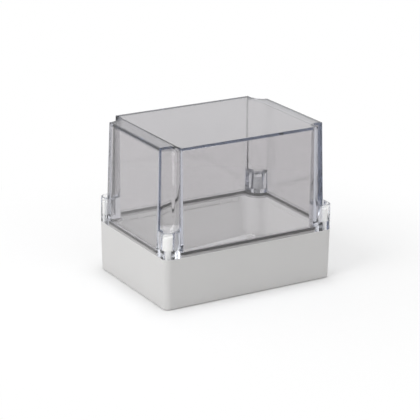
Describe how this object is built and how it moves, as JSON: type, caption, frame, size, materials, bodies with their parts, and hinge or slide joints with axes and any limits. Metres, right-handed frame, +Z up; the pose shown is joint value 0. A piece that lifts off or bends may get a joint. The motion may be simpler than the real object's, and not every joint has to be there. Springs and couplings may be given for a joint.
{
  "type": "hinged polycarbonate enclosure",
  "caption": "Wall-mounting electronics enclosure: a grey moulded base with a tall clear lid that swings on rear hinges, seals on a rubber gasket and locks with quarter-turn corner screws.",
  "frame": {"origin": "centre of the base's underside footprint, without the hinge knuckles", "axes": "+X along the long sides, -Y towards the front, opposite the hinges, +Z up out of the lid's top"},
  "size_m": [0.18, 0.1363, 0.15],
  "materials": {
    "base_plastic": "fine satin, light grey",
    "clear_polycarbonate": "clear, polished",
    "seal_rubber": "matt",
    "screw_plastic": "moulded, off-white",
    "pin_steel": "turned"
  },
  "bodies": {
    "base": {"base": "base_plastic", "hinge_pin_left": "pin_steel", "hinge_pin_right": "pin_steel"},
    "lid": {"lid": "clear_polycarbonate", "gasket": "seal_rubber"},
    "screw_front_left": {"lid_screw_front_left": "screw_plastic", "cross_pin_front_left": "pin_steel"},
    "screw_front_right": {"lid_screw_front_right": "screw_plastic", "cross_pin_front_right": "pin_steel"},
    "screw_rear_left": {"lid_screw_rear_left": "screw_plastic", "cross_pin_rear_left": "pin_steel"},
    "screw_rear_right": {"lid_screw_rear_right": "screw_plastic", "cross_pin_rear_right": "pin_steel"}
  },
  "joints": [
    {"name": "lid_hinge", "type": "hinge", "parent": "base", "child": "lid", "pos_m": [0, 0.0683, 0.0485], "axis": [-1, 0, 0], "range_deg": [0, 110]},
    {"name": "screw_turn_front_left", "type": "hinge", "parent": "lid", "child": "screw_front_left", "pos_m": [-0.083, -0.058, 0.0567], "axis": [0, 0, -1], "range_deg": [0, 90]},
    {"name": "screw_turn_front_right", "type": "hinge", "parent": "lid", "child": "screw_front_right", "pos_m": [0.083, -0.058, 0.0567], "axis": [0, 0, -1], "range_deg": [0, 90]},
    {"name": "screw_turn_rear_left", "type": "hinge", "parent": "lid", "child": "screw_rear_left", "pos_m": [-0.083, 0.058, 0.0567], "axis": [0, 0, -1], "range_deg": [0, 90]},
    {"name": "screw_turn_rear_right", "type": "hinge", "parent": "lid", "child": "screw_rear_right", "pos_m": [0.083, 0.058, 0.0567], "axis": [0, 0, -1], "range_deg": [0, 90]}
  ]
}
